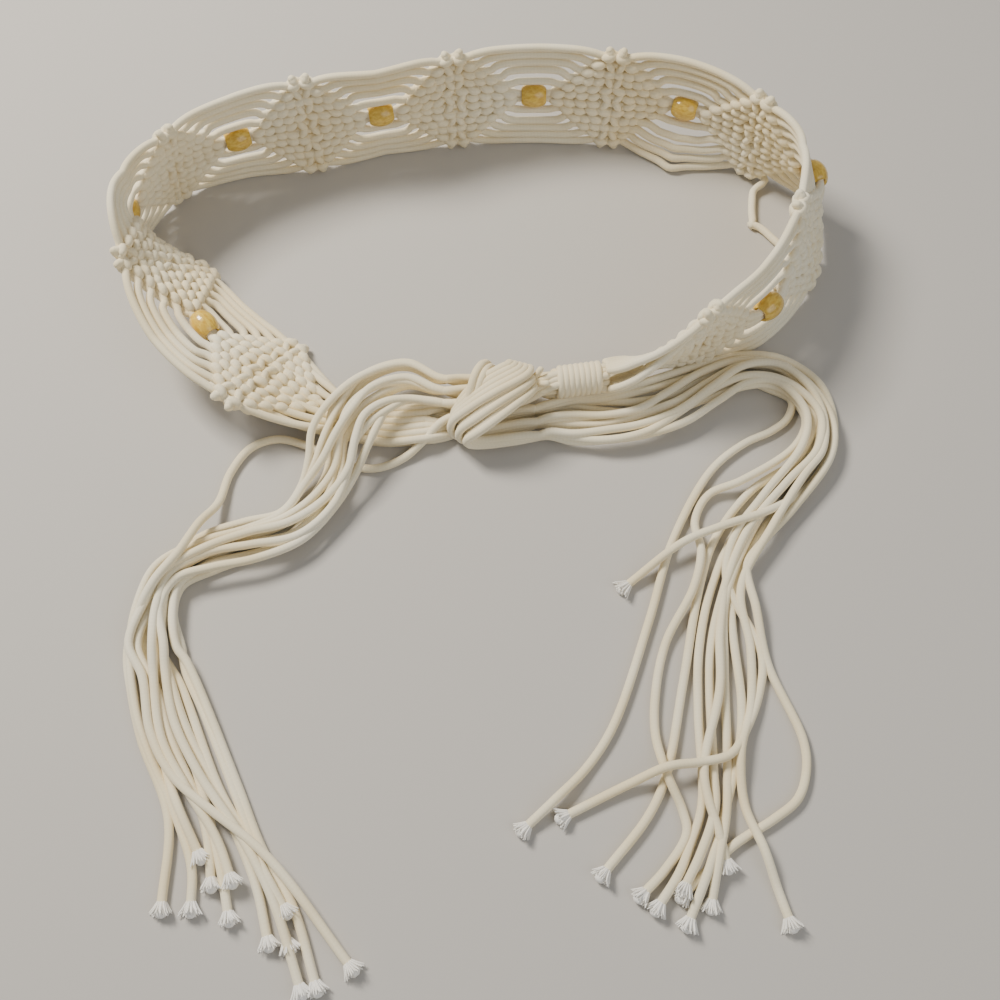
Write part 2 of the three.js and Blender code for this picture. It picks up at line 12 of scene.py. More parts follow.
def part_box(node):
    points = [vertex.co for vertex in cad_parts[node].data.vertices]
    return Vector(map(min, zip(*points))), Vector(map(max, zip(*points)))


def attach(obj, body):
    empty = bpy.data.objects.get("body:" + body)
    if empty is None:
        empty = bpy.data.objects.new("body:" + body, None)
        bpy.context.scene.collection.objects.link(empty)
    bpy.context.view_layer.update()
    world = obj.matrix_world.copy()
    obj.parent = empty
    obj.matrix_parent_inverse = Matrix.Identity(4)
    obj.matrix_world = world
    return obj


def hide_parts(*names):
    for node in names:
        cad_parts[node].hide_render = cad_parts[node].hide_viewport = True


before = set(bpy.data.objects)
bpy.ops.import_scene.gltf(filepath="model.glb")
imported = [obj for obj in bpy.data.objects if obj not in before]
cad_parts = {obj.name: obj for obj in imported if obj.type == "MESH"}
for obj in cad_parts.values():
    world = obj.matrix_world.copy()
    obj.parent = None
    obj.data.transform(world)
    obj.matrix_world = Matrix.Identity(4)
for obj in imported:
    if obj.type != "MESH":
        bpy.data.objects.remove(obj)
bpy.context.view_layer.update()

# Sizes in millimetres
CORD = 4.0  # pitch of the cords side by side in the band
CORD_RADIUS = 1.65
SECTION_RADIUS = 1.85  # of the solids' cords, which their bundles are laid out with
LYING = 1.85  # height of the centre of a cord that lies on the surface
HALF_PITCH = 32.5
DRAWN_PITCH = 35.0  # half pitch that the figures of a panel and a window are laid out for
KNOT = (-3.0, 36.0)
WINDOWS = 8
END_ROWS = 3
LAST_PANEL = END_ROWS + 2 * WINDOWS
WINDOW_BULGE = 2.0
LAYER_RISE = 3.4
LEAD = 4.0
GAP = 0.3
JOINING = 16  # stretch over which a cord of the knot leaves the line of its cord in the band
WRAP_LENGTH = 21.0
BEAD_LENGTH = 10.8
BEAD_RADIUS = 5.3
BEAD_END_RADIUS = 3.6
BEAD_BORE = 2.6
PAST_BEAD = 1.4
MM = 0.001

# The loop, clockwise from the knot's left side: x, y in half pitches from the knot,
# outward lean in degrees, height under the band, width and thickness in cords.
LOOP = [
    (-0.83, -0.12, 90, 0.2, 4.8, 1.9), (-1.29, -0.15, 90, 0.2, 5.0, 1.9),
    (-1.94, -0.02, 84, 0.2, 5.2, 1.9), (-2.86, 0.45, 66, 0, 12, 1.8),
    (-3.62, 1.07, 60, 0, 12, 1.8), (-4.15, 1.87, 44, 0, 12, 1.8),
    (-4.62, 2.6, -6, 0, 12, 1.8), (-4.2, 3.35, -10, 0, 12, 1.8),
    (-3.39, 3.81, -3, 0, 12, 1.8), (-2.47, 4.03, 8, 0, 12, 1.8),
    (-1.51, 4.23, -2, 0, 12, 1.8), (-0.52, 4.46, 6, 0, 12, 1.8),
    (0.55, 4.56, 8, 0, 12, 1.8), (1.6, 4.48, 8, 0, 12, 1.8),
    (2.58, 4.35, 3, 0, 12, 1.8), (3.48, 3.84, -2, 0, 12, 1.8),
    (4.12, 3.17, -20, 0, 12, 1.8), (3.97, 2.14, -20, 0, 12, 1.8),
    (3.34, 1.18, -9, 0, 12, 1.8), (2.54, 0.72, 6, 0, 12, 1.8),
    (1.72, 0.41, 35, 5, 6.5, 2.4), (1.39, 0.36, 55, 6.5, 3.0, 3.0),
]
BEAD_BULGE = [0, 0.9, 0, 0, 0, 0, 0.9, 0.7]

# The knot's bundles: x, y, z, half width and half thickness
CORE = [(8, 42, 13.6, 7, 6), (-6, 40.6, 13.6, 7.5, 6), (-16.7, 41.4, 12.9, 7.5, 5.4),
        (-21.7, 42, 12.9, 7, 5.4)]
UNDER = [(-17, 34, 3.9, 9, 4.2), (-4, 40, 4.6, 8, 4.6), (5, 46, 9, 7, 5), (8, 47.5, 16, 6.5, 5),
         (5, 43, 22.5, 6.5, 5)]
OVER = [(9, 41.5, 23.5, 7.5, 3.6), (-1, 34, 23, 8.5, 3.6), (-9.5, 29, 18.5, 8.5, 3.6),
        (-15.5, 26, 12, 7.5, 4)]
EXIT = [(-14.5, 25, 7.5, 6.5, 4.2), (-9, 26, 5.2, 6.5, 4.2), (3, 28.8, 5.4, 7.5, 4.8),
        (9.8, 30.2, 6, 7.5, 5.4), (14.7, 31, 6.4, 7.5, 5.4)]

# The free ends: the bundle's middle as x, y, height of the lowest centre, half spread
LEFT_SPINE = [
    (-37, 46, 10, 8), (-50, 41, 11, 9), (-58, 31.5, 11.4, 9), (-62.5, 21, 10, 9),
    (-65, 10, 6, 9), (-71, -1, 2, 9.5), (-81, -13, 2, 9), (-96, -19, 2, 9),
    (-112, -25, 2, 8.5), (-125, -34, 2, 7.5), (-129, -47, 2, 7.5), (-129, -62, 2, 10.5),
]
RIGHT_SPINE = [
    (29, 32.6, 2, 8.5), (42, 32.6, 2, 9), (56, 35, 2, 8.5), (70, 40.8, 2, 8),
    (85, 49.2, 2, 7.5), (100, 55.5, 2, 7.5), (113, 54.5, 2, 7.5), (123, 46, 2, 7.5),
    (127.5, 33, 2, 7), (124, 19, 2, 8),
]

# One row a cord: lane across the bundle, layer in it, how many spine rows it follows,
# then its own points as x, y and the number of cords it lies on
LEFT_CORDS = [
    (1, 0, 0, [(-11, 34, 3), (-23, 30.5, 2), (-31, 23.5, 0.8), (-38.5, 17.5, 0), (-49, 13, 0), (-59, 14, 0), (-80, 24, 0),
     (-90, 26, 0), (-100, 22, 0), (-107, 11, 0), (-110, -3, 0.6), (-115, -15, 2.7), (-121, -27, 3),
     (-129, -39, 3), (-135, -51, 1.6), (-138, -64, 0.2), (-135, -78, 0), (-129, -96, 0),
     (-116, -124, 0), (-115, -153, 0)]),
    (-0.75, 1, 14, [(-132, -85, 0.5), (-126, -100, 0.2), (-111, -128, 0), (-106, -141, 0),
     (-105, -153, 0)]),
    (-0.5, 0, 14, [(-128, -78, 0), (-118, -109, 0), (-112, -121, 0.8), (-104, -136, 0.2)]),
    (-0.25, 1, 14, [(-125, -78, 0.7), (-119, -94, 0.3), (-105, -121, 0), (-101, -133, 0),
     (-99, -145, 0)]),
    (0, 0, 14, [(-122, -78, 0), (-108, -107, 0), (-96, -141, 0), (-92, -156, 0)]),
    (0.25, 1, 14, [(-119, -78, 0.8), (-112, -94, 0.4), (-103, -109, 0), (-84, -145, 0),
     (-78, -164, 0)]),
    (0.5, 0, 14, [(-117, -76, 0), (-99, -114, 0), (-89, -129, 0), (-80, -143, 0.8),
     (-73, -154, 0.4)]),
    (1, 0, 14, [(-116, -70, 0), (-106, -89, 0), (-87, -129, 0), (-71, -165, 0)]),
    (0.75, 1, 14, [(-115, -68, 0.8), (-93, -112, 0), (-83, -133, 0), (-70, -154, 0),
     (-61, -178, 0)]),
    (-0.5, 2, 14, [(-130, -74, 1.6), (-125, -94, 1.2), (-115, -110, 1.2), (-79, -138, 1.2),
     (-50, -172, 0)]),
    (0.5, 2, 14, [(-122, -72, 1.4), (-117, -90, 1.2), (-106, -109, 1.2), (-89, -131, 1),
     (-77, -151, 0.8), (-66, -179, 0.2)]),
    (0, 2, 14, [(-126, -74, 1.5), (-121, -96, 1), (-110, -114, 1), (-98, -131, 0.6),
     (-92, -144, 0.6)]),
]
RIGHT_CORDS = [
    (-1, 0, 9, [(119, 44, 0), (117, 36, 0), (110, 30, 0), (98, 24, 0), (84, 12, 0), (67, -18, 0),
     (56, -51, 0), (41, -91, 0), (31, -106, 0), (19, -118, 0.6), (9, -127, 0)]),
    (1, 0, 12, [(120, 3, 0.4), (104, -8, 1.8), (85, -15, 2), (70, -21, 1.5), (48, -37, 0)]),
    (-0.5, 2, 12, [(102, -2, 1.8), (90, -18, 1.2), (86, -35, 0.6), (97, -64, 0), (95, -78, 0),
     (89, -92, 0.4), (82, -102, 1.1), (71, -105, 1.2), (59, -107, 1.8), (46, -112, 0.4),
     (23, -123, 0)]),
    (-0.5, 0, 12, [(99, 3, 0), (83, -18, 0), (76, -37, 0), (67, -76, 0), (59, -109, 0),
     (52, -123, 0), (36, -142, 0)]),
    (-0.75, 1, 12, [(95, 6, 1), (82, 1, 0.2), (76, -10, 0), (77, -24, 0.9), (73, -39, 0.9),
     (62, -59, 0), (57, -78, 0), (56, -94, 0), (59, -109, 0.9), (64, -121, 0), (65, -129, 0),
     (57, -141, 0), (49, -149, 0)]),
    (0, 0, 12, [(111, 8, 0), (92, -14, 0), (80, -39, 0), (74, -62, 0), (72, -85, 0),
     (71, -119, 0), (66, -133, 0), (61, -143, 0.6), (54, -153, 0.2)]),
    (0, 2, 12, [(112, 4, 1.9), (95, -16, 1.4), (84, -41, 0.7), (78, -64, 0), (76, -107, 0),
     (75, -121, 0.7), (69, -136, 0.9), (63, -147, 0.6)]),
    (0.5, 0, 12, [(116, 3, 0), (99, -18, 0), (88, -41, 0), (88, -83, 0), (86, -98, 0),
     (78, -124, 0), (72, -140, 0.9), (64, -158, 0)]),
    (0.25, 1, 12, [(114, 7, 1), (98, -14, 0.8), (85, -43, 0.6), (83, -66, 0), (81, -107, 0),
     (79, -123, 0.3), (75, -138, 0.9), (72, -152, 0)]),
    (0.75, 1, 12, [(114, -6, 0.9), (101, -20, 0.9), (94, -30, 1), (96, -47, 0.9), (99, -68, 0),
     (109, -96, 0), (109, -107, 0), (105, -117, 0), (96, -124, 0), (81, -133, 0), (63, -149, 0)]),
    (-0.25, 1, 12, [(106, 1, 1), (89, -26, 0.8), (82, -55, 0.7), (80, -78, 0.8), (72, -109, 0.9),
     (76, -130, 0.8), (78, -139, 0.2)]),
    (0.5, 2, 12, [(119, 7, 1.9), (105, -14, 1.5), (91, -39, 0.8), (93, -62, 0.2), (91, -85, 0.2),
     (86, -100, 0.8), (86, -119, 0), (91, -135, 0.9), (95, -148, 0), (98, -158, 0)]),
]


def smooth(points, per_row):
    """A centripetal curve through the points, with its place in rows for each sample."""
    rows = np.asarray(points, float)
    first, last = 2 * rows[0] - rows[1], 2 * rows[-1] - rows[-2]
    held = np.vstack([first, rows, last])
    found, places = [], []
    for i in range(len(rows) - 1):
        p0, p1, p2, p3 = held[i:i + 4]
        d0, d1, d2 = (max(np.linalg.norm((b - a)[:3]) ** 0.5, 1e-3)
                      for a, b in ((p0, p1), (p1, p2), (p2, p3)))
        t1 = ((p1 - p0) / d0 - (p2 - p0) / (d0 + d1) + (p2 - p1) / d1) * d1
        t2 = ((p2 - p1) / d1 - (p3 - p1) / (d1 + d2) + (p3 - p2) / d2) * d1
        steps = per_row + (i == len(rows) - 2)
        for t in np.arange(steps) / per_row:
            found.append(p1 + t1 * t + (-3 * p1 + 3 * p2 - 2 * t1 - t2) * t ** 2
                         + (2 * p1 - 2 * p2 + t1 + t2) * t ** 3)
            places.append(i + t)
    return np.array(found), np.array(places)


def unit(v):
    return v / np.maximum(np.linalg.norm(v, axis=-1, keepdims=True), 1e-12)


def evenly(points, step):
    """The same line with points an even step apart."""
    points = np.asarray(points, float)
    arc = np.concatenate([[0], np.cumsum(np.linalg.norm(np.diff(points, axis=0), axis=1))])
    at = np.linspace(0, arc[-1], max(int(arc[-1] / step), 2) + 1)
    return np.array([np.interp(at, arc, points[:, k]) for k in range(3)]).T


def length_of(points):
    return float(np.linalg.norm(np.diff(points, axis=0), axis=1).sum())


# The band's middle line, its lean and its section at any place along it
ROUTE, ROUTE_PLACE = smooth([(KNOT[0] + x * HALF_PITCH, KNOT[1] + y * HALF_PITCH, 0)
                             for x, y, *rest in LOOP], 40)
ROUTE_ALONG = unit(np.gradient(ROUTE, axis=0))


def row_value(place, column):
    return np.interp(place, np.arange(len(LOOP)), [row[column] for row in LOOP])


def band_frame(place):
    """Centre, along, across and out directions of the band, and its half width."""
    place = np.atleast_1d(np.asarray(place, float))
    centre = np.array([np.interp(place, ROUTE_PLACE, ROUTE[:, k]) for k in range(3)]).T
    along = unit(np.array([np.interp(place, ROUTE_PLACE, ROUTE_ALONG[:, k]) for k in range(3)]).T)
    outward = unit(np.cross([0, 0, 1], along))
    lean = np.radians(row_value(place, 2))[:, None]
    up = np.array([[0, 0, 1.0]])
    across = outward * np.sin(lean) + up * np.cos(lean)
    out = outward * np.cos(lean) - up * np.sin(lean)
    swell = np.clip(np.minimum(place - END_ROWS, LAST_PANEL - place) / 0.4, 0, 1)
    half = row_value(place, 4) * CORD / 2 + WINDOW_BULGE * swell
    deep = row_value(place, 5) * CORD / 2
    stand = half * np.cos(lean[:, 0]) + deep * np.abs(np.sin(lean[:, 0]))
    centre[:, 2] = stand + row_value(place, 3)
    return centre, along, across, out


def band_points(place, v, w):
    centre, along, across, out = band_frame(place)
    v = np.broadcast_to(np.asarray(v, float), (len(centre),))[:, None]
    w = np.broadcast_to(np.asarray(w, float), (len(centre),))[:, None]
    return centre + across * v + out * w


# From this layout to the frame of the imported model, by the bead that the loop is set on
def bead_middle(window):
    middle = END_ROWS + 1 + 2 * window
    reach = (BEAD_LENGTH / 2 + PAST_BEAD) / HALF_PITCH
    ends = band_points([middle - reach, middle + reach], 0, BEAD_BULGE[window] * CORD)
    return ends.mean(axis=0), unit(ends[1] - ends[0])


low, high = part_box("bead_5")
SHIFT = (np.array(low) + np.array(high)) / 2 / MM - bead_middle(4)[0]


# The camera, at the photographed view over the middle of the layout
camera_data = bpy.data.cameras.new("camera")
camera_data.sensor_width = 36
camera_data.lens = 43.2
camera_data.clip_start = 0.01
camera = bpy.data.objects.new("camera", camera_data)
bpy.context.scene.collection.objects.link(camera)
camera.location = Vector((SHIFT + [0, -200.3, 429.4]) * MM)
camera.rotation_euler = (math.radians(25), 0, 0)
bpy.context.scene.camera = camera


# Materials
def linear(code):
    """An sRGB hex colour as linear values."""
    parts = [int(code[i:i + 2], 16) / 255 for i in (1, 3, 5)]
    return [c / 12.92 if c <= 0.04045 else ((c + 0.055) / 1.055) ** 2.4 for c in parts] + [1]


def add(tree, kind, settings=None, **inputs):
    """A node with its settings and its inputs, each a value or another node's output."""
    node = tree.nodes.new(kind)
    for name, value in (settings or {}).items():
        setattr(node, name, value)
    for name, value in inputs.items():
        key = int(name[1:]) if name[0] == "i" and name[1:].isdigit() else name.replace("_", " ")
        socket = node.inputs[key]
        if isinstance(value, bpy.types.NodeSocket):
            tree.links.new(value, socket)
        else:
            socket.default_value = value
    return node


def new_material(name):
    material = bpy.data.materials.new(name)
    material.use_nodes = True
    tree = material.node_tree
    tree.nodes.clear()
    output = tree.nodes.new("ShaderNodeOutputMaterial")
    return material, tree, output.inputs["Surface"]


def braided_cotton(name, light, warm, shade, braid_depth):
    """Round braided cotton cord: matte, with a fine diamond relief along its length, painted shade
    in the grooves of that relief and soft uneven tone where the cord has been handled."""
    material, tree, surface = new_material(name)
    uv = add(tree, "ShaderNodeUVMap", {"uv_map": "UVMap"}).outputs["UV"]
    parts = add(tree, "ShaderNodeSeparateXYZ", i0=uv).outputs
    # Eight strands each way round a 12.6 mm girth, with a stitch 1.8 mm long
    waves = []
    for turn in (1, -1):
        across = add(tree, "ShaderNodeMath", {"operation": "MULTIPLY"}, i0=parts[0],
                     i1=math.tau * 4).outputs[0]
        phase = add(tree, "ShaderNodeMath", {"operation": "MULTIPLY_ADD"}, i0=parts[1],
                    i1=turn * math.tau * 3.5, i2=across).outputs[0]
        waves.append(add(tree, "ShaderNodeMath", {"operation": "SINE"}, i0=phase).outputs[0])
    braid = add(tree, "ShaderNodeMath", {"operation": "MULTIPLY"}, i0=waves[0], i1=waves[1])
    relief = add(tree, "ShaderNodeMapRange", i0=braid.outputs[0], i1=-1.0, i2=1.0)
    place = add(tree, "ShaderNodeTexCoord").outputs["Object"]
    fuzz = add(tree, "ShaderNodeTexNoise", Vector=place, Scale=1400.0, Detail=3.0).outputs[0]
    tone = add(tree, "ShaderNodeTexNoise", Vector=place, Scale=22.0, Detail=3.0).outputs[0]
    tone = add(tree, "ShaderNodeMapRange", i0=tone, i1=0.35, i2=0.65).outputs[0]
    body = add(tree, "ShaderNodeMix", {"data_type": "RGBA"}, i0=tone, i6=linear(light),
               i7=linear(warm)).outputs[2]
    # Painted shade: the shade colour is mixed in where the braid's relief is low, darkening its
    # grooves
    groove_shade = add(tree, "ShaderNodeMapRange", i0=relief.outputs[0], i3=0.12, i4=0.0).outputs[0]
    colour = add(tree, "ShaderNodeMix", {"data_type": "RGBA"}, i0=groove_shade, i6=body,
                 i7=linear(shade)).outputs[2]
    height = add(tree, "ShaderNodeMath", {"operation": "MULTIPLY_ADD"}, i0=fuzz, i1=0.5,
                 i2=relief.outputs[0]).outputs[0]
    bump = add(tree, "ShaderNodeBump", Strength=0.3, Distance=braid_depth * MM,
               Height=height).outputs[0]
    shader = add(tree, "ShaderNodeBsdfPrincipled", Base_Color=colour, Roughness=0.92,
                 Normal=bump)
    shader.inputs["Sheen Weight"].default_value = 0.25
    shader.inputs["Sheen Roughness"].default_value = 0.5
    shader.inputs["IOR"].default_value = 1.45
    shader.inputs["Specular IOR Level"].default_value = 0.25
    tree.links.new(shader.outputs[0], surface)
    return material


def varnished_wood():
    """Turned hardwood bead, stained yellow and dipped in clear varnish: fine grain along
    the bore, a deeper tone in the grain and a bright smooth highlight."""
    material, tree, surface = new_material("stained_varnished_wood")
    uv = add(tree, "ShaderNodeUVMap", {"uv_map": "UVMap"}).outputs["UV"]
    stretched = add(tree, "ShaderNodeMapping", Vector=uv, Scale=(9, 1.6, 1)).outputs[0]
    grain = add(tree, "ShaderNodeTexNoise", Vector=stretched, Scale=3.0, Detail=5.0,
                Distortion=0.6).outputs[0]
    fine = add(tree, "ShaderNodeMapRange", i0=grain, i1=0.35, i2=0.7).outputs[0]
    colour = add(tree, "ShaderNodeMix", {"data_type": "RGBA"}, i0=fine, i6=linear("#E8C552"),
                 i7=linear("#C99A28")).outputs[2]
    bump = add(tree, "ShaderNodeBump", Strength=0.15, Distance=0.1 * MM, Height=grain).outputs[0]
    shader = add(tree, "ShaderNodeBsdfPrincipled", Base_Color=colour, Roughness=0.3,
                 Normal=bump)
    shader.inputs["Coat Weight"].default_value = 0.8
    shader.inputs["Coat Roughness"].default_value = 0.07
    tree.links.new(shader.outputs[0], surface)
    return material


COTTON = braided_cotton("braided_cotton_cord", "#F7EED3", "#F1E1B8", "#C9B585", 0.06)
FRAY = braided_cotton("combed_cotton_fibre", "#FBF8F0", "#F7F2E6", "#E4DCCB", 0.06)
WOOD = varnished_wood()


# Meshes
def tube(points, radius, sides=10, side=None, flat=1.0):
    """Rings along a line in millimetres with rounded ends: vertices, faces and UVs. With a
    side given the section keeps it, and flat is the thickness as a share of the width."""
    points = np.asarray(points, float)
    radius = np.broadcast_to(np.asarray(radius, float), (len(points),))
    along = unit(np.gradient(points, axis=0))
    first, last = points[0], points[-1]
    r0, r1 = radius[0], radius[-1]
    points = np.vstack([first - along[0] * r0 * 0.8, first - along[0] * r0 * 0.5, points,
                        last + along[-1] * r1 * 0.5, last + along[-1] * r1 * 0.8])
    radius = np.concatenate([[r0 * 0.4, r0 * 0.82], radius, [r1 * 0.82, r1 * 0.4]])
    along = np.vstack([along[:1], along[:1], along, along[-1:], along[-1:]])
    seed = np.array([0, 0, 1.0]) if abs(along[0][2]) < 0.9 else np.array([1.0, 0, 0])
    now = unit(np.cross(seed, along[0])) if side is None else np.asarray(side, float)
    sides_of = []
    for t in along:
        now = unit(now - t * np.dot(now, t))
        sides_of.append(now)
    across = np.array(sides_of)
    rise = np.cross(along, across)
    turn = np.arange(sides) * math.tau / sides
    rings = (points[:, None] + radius[:, None, None]
             * (across[:, None] * np.cos(turn)[None, :, None]
                + rise[:, None] * np.sin(turn)[None, :, None] * flat))
    count = len(points)
    arc = np.concatenate([[0], np.cumsum(np.linalg.norm(np.diff(points, axis=0), axis=1))])
    i, k = np.meshgrid(np.arange(count - 1), np.arange(sides), indexing="ij")
    i, k = i.ravel(), k.ravel()
    n = (k + 1) % sides
    faces = np.stack([i * sides + k, i * sides + n, (i + 1) * sides + n, (i + 1) * sides + k], 1)
    girth = arc / (math.tau * CORD_RADIUS)
    uv = np.stack([np.stack([k / sides, girth[i]], 1), np.stack([(k + 1) / sides, girth[i]], 1),
                   np.stack([(k + 1) / sides, girth[i + 1]], 1),
                   np.stack([k / sides, girth[i + 1]], 1)], 1)
    caps = [list(range(sides))[::-1], list(range((count - 1) * sides, count * sides))]
    cap_uv = [[(0, 0)] * sides, [(0, girth[-1])] * sides]
    return rings.reshape(-1, 3), faces.tolist() + caps, uv.reshape(-1, 2).tolist(), cap_uv


def mesh_of(name, parts, shift=True):
    """One mesh of several tubes, in metres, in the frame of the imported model."""
    vertices, faces, uvs, start = [], [], [], 0
    for points, quads, quad_uv, cap_uv in parts:
        vertices.append(points)
        faces += [[a + start for a in face] for face in quads]
        uvs += quad_uv + [c for cap in cap_uv for c in cap]
        start += len(points)
    place = (np.vstack(vertices) + (SHIFT if shift else 0)) * MM
    mesh = bpy.data.meshes.new(name)
    mesh.from_pydata(place.tolist(), [], faces)
    layer = mesh.uv_layers.new(name="UVMap")
    layer.data.foreach_set("uv", np.asarray(uvs, float).ravel())
    mesh.shade_smooth()
    return mesh


def piece(name, mesh, material=None):
    """A piece of the belt, pressed flat where it lies on the surface."""
    place = np.empty(len(mesh.vertices) * 3)
    mesh.vertices.foreach_get("co", place)
    place[2::3] = np.maximum(place[2::3], 0.05 * MM)
    mesh.vertices.foreach_set("co", place)
    thing = bpy.data.objects.new(name, mesh)
    bpy.context.scene.collection.objects.link(thing)
    if material is not None:
        mesh.materials.clear()
        mesh.materials.append(material)
    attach(thing, "root")
    return thing


# The routes of the free ends, row by row as the solids have them
def lead_in(point, along, start):
    return [point + along * (start + d) for d in (0, LEAD)]


def spine_from(rows, spine):
    before, last = np.array(rows[-2][:3], float), np.array(rows[-1][:3], float)
    lead = lead_in(last, unit(last - before), GAP)
    spread = rows[-1][3] - SECTION_RADIUS
    return [(p[0], p[1], p[2] - LAYER_RISE, spread) for p in lead] + list(spine)


def tail_route(spine, lane, layer, stations, points, twist, nth):
    """A free cord: beside the others in the bundle, which turns by twist from the knot to
    where it opens, then on its own along the surface. Each cord wanders a little."""
    line, place = smooth([(x, y, 0) for x, y, *rest in spine], 20)
    along = unit(np.gradient(line, axis=0))[::20]
    side = unit(np.cross([0, 0, 1.0], along))
    rows = []
    for i, (x, y, base, spread) in enumerate(spine[:stations]):
        angle = math.radians(twist) * max(0, 1 - i / (len(spine) - 2))
        a = lane * math.cos(angle) - (layer - 1) * math.sin(angle)
        b = lane * math.sin(angle) + (layer - 1) * math.cos(angle)
        loose = min(i / 4, 1)
        a += 0.2 * loose * math.sin(1.3 * i + 2.1 * nth)
        b += 0.18 * loose * math.sin(1.1 * i + 1.7 * nth)
        height = base + LAYER_RISE + b * LAYER_RISE
        rows.append((x + side[i][0] * a * spread, y + side[i][1] * a * spread,
                     max(height, LYING)))
    rows += [(x, y, LYING + level * LAYER_RISE) for x, y, level in points]
    return smooth(rows, 12)[0]


def bundle_routes(rows, lanes, twist):
    """The cords of a bundle along rows of x, y, z, half width and half thickness, turned by
    twist when they reach its end."""
    line, place = smooth(rows, 10)
    along = unit(np.gradient(line[:, :3], axis=0))
    now = unit(np.cross([0, 0, 1.0], along[0]))
    across = []
    for t in along:
        now = unit(now - t * np.dot(now, t))
        across.append(now)
    across = np.array(across)
    rise = np.cross(along, across)
    share = np.linspace(0, 1, len(line))[:, None]
    level = unit(np.cross([0, 0, 1.0], along[-1]))
    angle = math.atan2(np.dot(level, rise[-1]), np.dot(level, across[-1])) * share
    side = across * np.cos(angle) + rise * np.sin(angle)
    up = rise * np.cos(angle) - across * np.sin(angle)
    half, deep = line[:, 3:4] - SECTION_RADIUS, line[:, 4:5] - SECTION_RADIUS
    routes = []
    for lane, layer in lanes:
        turned = math.radians(twist) * share
        a = lane * np.cos(turned) - (layer - 1) * np.sin(turned)
        b = lane * np.sin(turned) + (layer - 1) * np.cos(turned)
        route = line[:, :3] + side * a * half + up * b * deep
        route[:, 2] = np.maximum(route[:, 2], LYING)
        routes.append(route)
    return routes


def band_end(place):
    point = band_points(place, 0, 0)[0]
    along = band_frame(place)[1][0]
    return point, -along if place == 0 else along


first_end, first_along = band_end(0)
last_end, last_along = band_end(len(LOOP) - 1)
LEFT_LANES = [(row[0], row[1]) for row in LEFT_CORDS]
RIGHT_LANES = [(row[0], row[1]) for row in RIGHT_CORDS]
TWIST = {"left": -110, "right": 100}


def free_ends(side, spine, cords):
    """The twelve free cords of one side, each a piece of its own, with their routes and lengths."""
    made = []
    for n, (lane, layer, stations, points) in enumerate(cords):
        if stations == 0:
            route = smooth([(x, y, LYING + up * LAYER_RISE) for x, y, up in points], 12)[0]
        else:
            route = tail_route(spine, lane, layer, stations, points, TWIST[side], n)
        route = evenly(route, 1.6)
        name = f"{side}_cord_{n + 1}"
        thing = piece(name, mesh_of(name, [tube(route, CORD_RADIUS)]), COTTON)
        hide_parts(f"{side}_tail")
        made.append((thing, (route + SHIFT) * MM, length_of(route) * MM))
    return made


left_spine = spine_from(CORE, LEFT_SPINE)
right_spine = spine_from(EXIT, RIGHT_SPINE)
left_free = free_ends("left", left_spine, LEFT_CORDS)
right_free = free_ends("right", right_spine, RIGHT_CORDS)


# Geometry Nodes trees
def new_tree(name, sockets):
    """A geometry tree with its named inputs, its first node and its output."""
    tree = bpy.data.node_groups.new(name, "GeometryNodeTree")
    tree.interface.new_socket("Geometry", in_out="INPUT", socket_type="NodeSocketGeometry")
    tree.interface.new_socket("Geometry", in_out="OUTPUT", socket_type="NodeSocketGeometry")
    for label, kind, value in sockets:
        socket = tree.interface.new_socket(label, in_out="INPUT", socket_type=kind)
        if value is not None:
            socket.default_value = value
    start = tree.nodes.new("NodeGroupInput")
    end = tree.nodes.new("NodeGroupOutput")
    return tree, start.outputs, end.inputs["Geometry"]


def finish_tree(tree, geometry, material, end):
    """The last two nodes of every tree: real geometry, and its finish."""
    real = add(tree, "GeometryNodeRealizeInstances", Geometry=geometry).outputs[0]
    dressed = add(tree, "GeometryNodeSetMaterial", Geometry=real, Material=material).outputs[0]
    tree.links.new(dressed, end)


def turns_on_points():
    """Sets a copy of one turn of cord on every point, turned and sized by the point."""
    tree, given, end = new_tree("knotted_turns", [
        ("Turn", "NodeSocketObject", None), ("Cord Thickness", "NodeSocketFloat", 1.0),
        ("Material", "NodeSocketMaterial", None)])
    turn = add(tree, "GeometryNodeObjectInfo", i0=given["Turn"]).outputs["Geometry"]
    turned = add(tree, "GeometryNodeInputNamedAttribute", {"data_type": "FLOAT_VECTOR"},
                 Name="turned").outputs[0]
    sized = add(tree, "GeometryNodeInputNamedAttribute", {"data_type": "FLOAT_VECTOR"},
                Name="sized").outputs[0]
    scale = add(tree, "ShaderNodeVectorMath", {"operation": "SCALE"}, i0=sized,
                Scale=given["Cord Thickness"]).outputs[0]
    set_out = add(tree, "GeometryNodeInstanceOnPoints", Points=given["Geometry"],
                  Instance=turn, Rotation=turned, Scale=scale).outputs[0]
    finish_tree(tree, set_out, given["Material"], end)
    return tree


